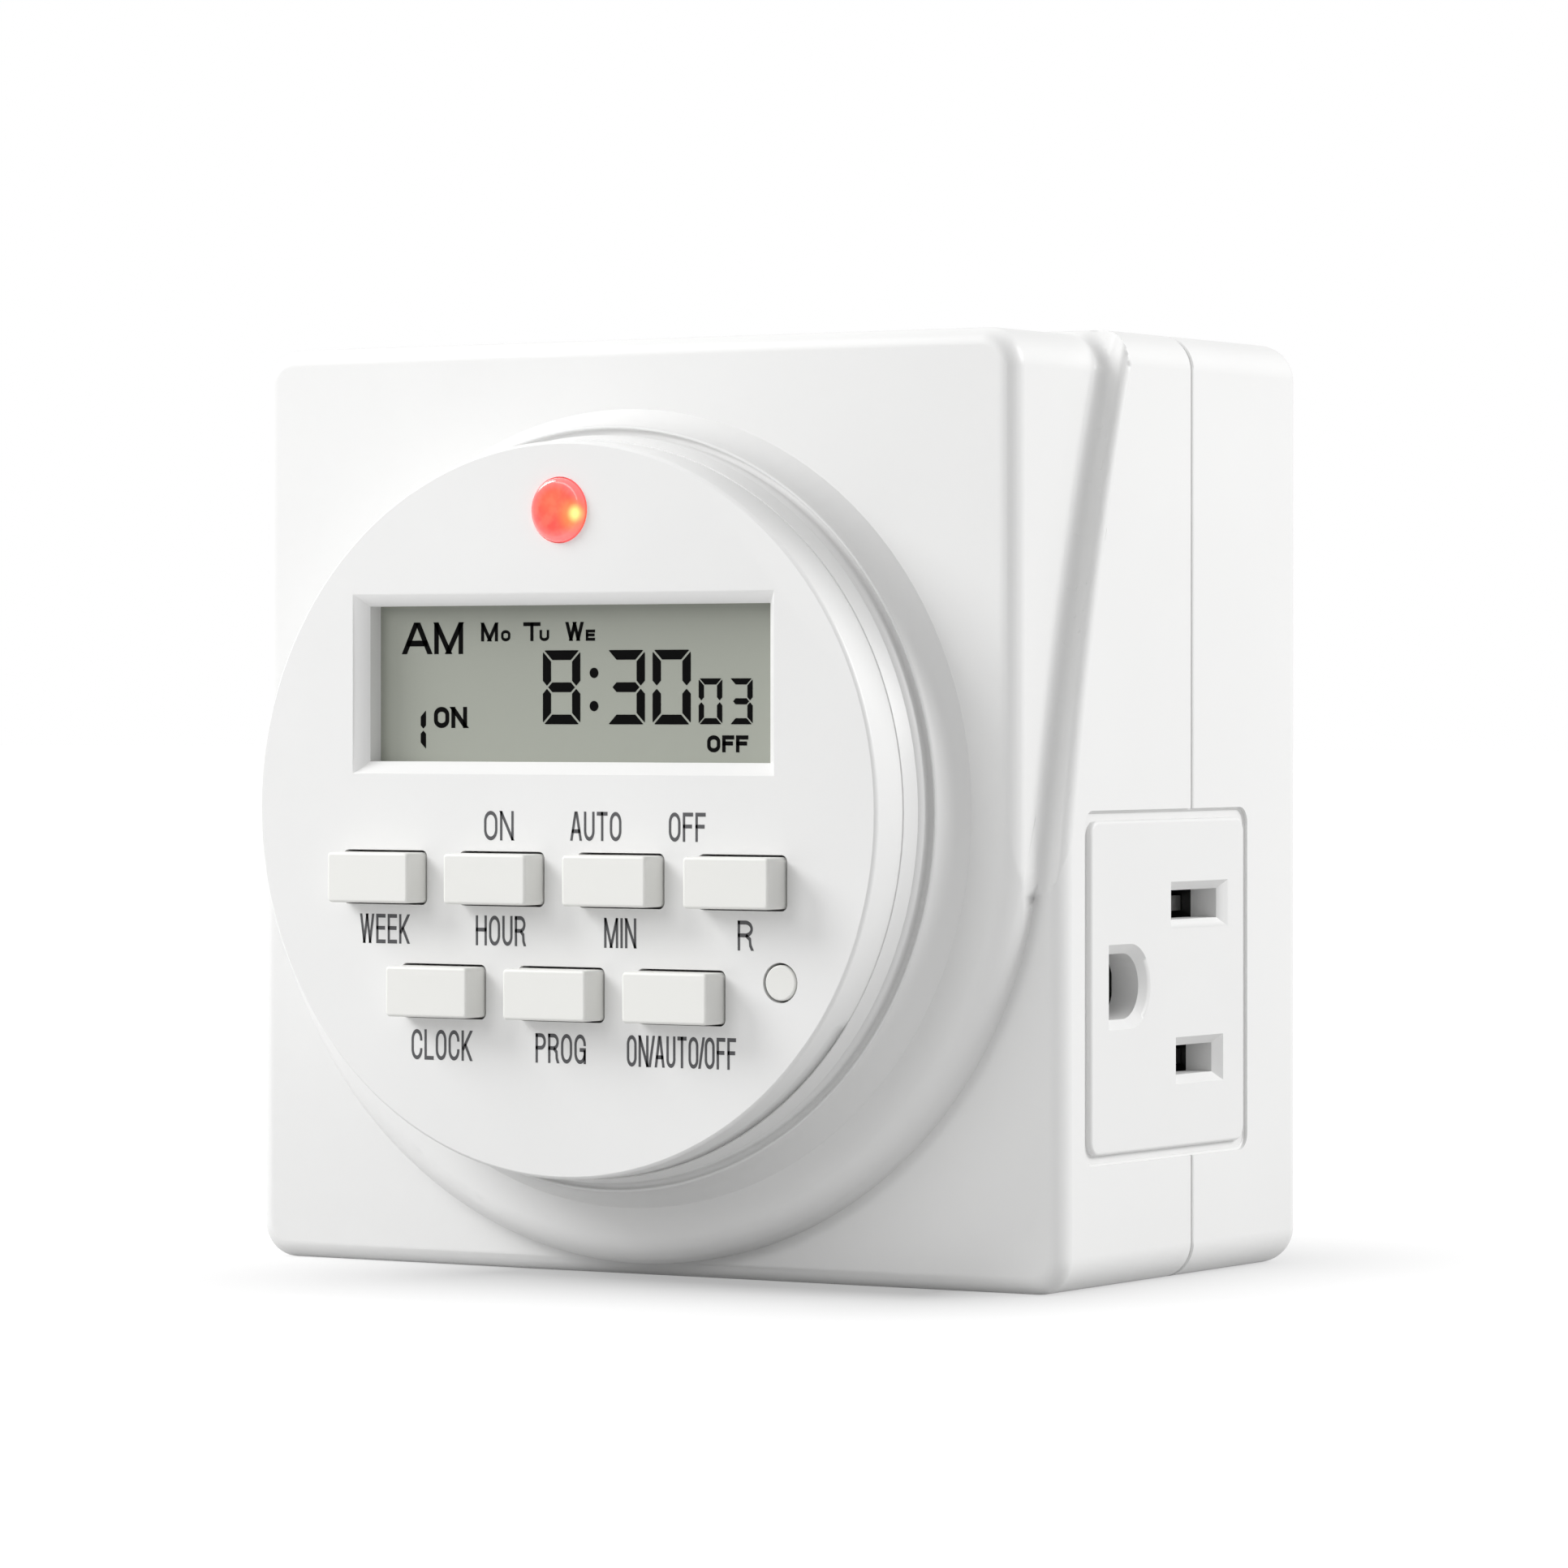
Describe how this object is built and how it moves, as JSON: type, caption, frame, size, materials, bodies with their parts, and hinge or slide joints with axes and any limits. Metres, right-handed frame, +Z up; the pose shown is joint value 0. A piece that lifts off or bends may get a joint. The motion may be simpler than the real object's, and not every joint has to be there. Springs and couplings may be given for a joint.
{
  "type": "programmable outlet timer",
  "caption": "Plug-in seven-day digital timer in a white housing with a round keyed dial, a display and a grounded outlet on each side.",
  "frame": {"origin": "centre of the housing's underside, at half the depth of the main housing", "axes": "+X to the right across the dial, +Y from the dial back to the plug blades, +Z up"},
  "size_m": [0.079, 0.078, 0.0773],
  "materials": {
    "housing_plastic": "satin moulded white",
    "outlet_plastic": "satin moulded white",
    "key_plastic": "satin moulded white",
    "inner_plastic": "plain moulded",
    "display_glass": "grey-green liquid crystal with dark segments",
    "lamp_lens": "clear red lens",
    "silicone": "soft translucent grey",
    "board": "brown laminate",
    "steel": "plated",
    "black_plastic": "matt black",
    "battery_sleeve": "shrink sleeve",
    "ribbon": "grey insulation",
    "relay_plastic": "sealed case",
    "film_plastic": "boxed film",
    "can_sleeve": "shrink sleeve",
    "varistor_coating": "epoxy dip",
    "resistor_body": "lacquer",
    "blade_metal": "nickel plated brass",
    "contact_metal": "bare sprung brass"
  },
  "bodies": {
    "housing": {"front_shell": "housing_plastic", "rear_shell": "housing_plastic", "dial_cap": "housing_plastic", "display_panel": "display_glass", "display_frame": "inner_plastic", "zebra_strips": "silicone", "indicator_lamp": "lamp_lens", "keypad_mat": "silicone", "display_board": "board", "display_board_screws": "steel", "controller_blob": "black_plastic", "clock_crystal": "steel", "backup_battery": "battery_sleeve", "ribbon_cable": "ribbon", "power_board": "board", "power_board_screws": "steel", "relay": "relay_plastic", "film_capacitor": "film_plastic", "electrolytic_capacitor": "can_sleeve", "varistor": "varistor_coating", "rectifier_diodes": "black_plastic", "dropper_resistor": "resistor_body", "blade_carrier": "black_plastic", "line_blade": "blade_metal", "neutral_blade": "blade_metal", "ground_pin": "blade_metal", "outlet_right": "outlet_plastic", "outlet_left": "outlet_plastic", "neutral_contact_right": "contact_metal", "neutral_contact_left": "contact_metal", "line_contact_right": "contact_metal", "line_contact_left": "contact_metal", "ground_contact_right": "contact_metal", "ground_contact_left": "contact_metal", "neutral_bus": "contact_metal", "line_bus": "contact_metal", "ground_bus": "contact_metal", "housing_screws": "steel"},
    "key_week": {"key_week": "key_plastic"},
    "key_hour": {"key_hour": "key_plastic"},
    "key_minute": {"key_minute": "key_plastic"},
    "key_random": {"key_random": "key_plastic"},
    "key_clock": {"key_clock": "key_plastic"},
    "key_program": {"key_program": "key_plastic"},
    "key_mode": {"key_mode": "key_plastic"},
    "reset_button": {"reset_button": "key_plastic"}
  },
  "joints": [
    {"name": "key_week_press", "type": "slide", "parent": "housing", "child": "key_week", "axis": [0, 1, 0], "range_m": [0, 0.001], "stiffness_N_per_m": 1500, "springref_m": -0.0006, "deforming": ["keypad_mat"]},
    {"name": "key_hour_press", "type": "slide", "parent": "housing", "child": "key_hour", "axis": [0, 1, 0], "range_m": [0, 0.001], "stiffness_N_per_m": 1500, "springref_m": -0.0006, "deforming": ["keypad_mat"]},
    {"name": "key_minute_press", "type": "slide", "parent": "housing", "child": "key_minute", "axis": [0, 1, 0], "range_m": [0, 0.001], "stiffness_N_per_m": 1500, "springref_m": -0.0006, "deforming": ["keypad_mat"]},
    {"name": "key_random_press", "type": "slide", "parent": "housing", "child": "key_random", "axis": [0, 1, 0], "range_m": [0, 0.001], "stiffness_N_per_m": 1500, "springref_m": -0.0006, "deforming": ["keypad_mat"]},
    {"name": "key_clock_press", "type": "slide", "parent": "housing", "child": "key_clock", "axis": [0, 1, 0], "range_m": [0, 0.001], "stiffness_N_per_m": 1500, "springref_m": -0.0006, "deforming": ["keypad_mat"]},
    {"name": "key_program_press", "type": "slide", "parent": "housing", "child": "key_program", "axis": [0, 1, 0], "range_m": [0, 0.001], "stiffness_N_per_m": 1500, "springref_m": -0.0006, "deforming": ["keypad_mat"]},
    {"name": "key_mode_press", "type": "slide", "parent": "housing", "child": "key_mode", "axis": [0, 1, 0], "range_m": [0, 0.001], "stiffness_N_per_m": 1500, "springref_m": -0.0006, "deforming": ["keypad_mat"]},
    {"name": "reset_button_press", "type": "slide", "parent": "housing", "child": "reset_button", "axis": [0, 1, 0], "range_m": [0, 0.0008], "stiffness_N_per_m": 1500, "springref_m": -0.0006, "deforming": ["keypad_mat"]}
  ]
}
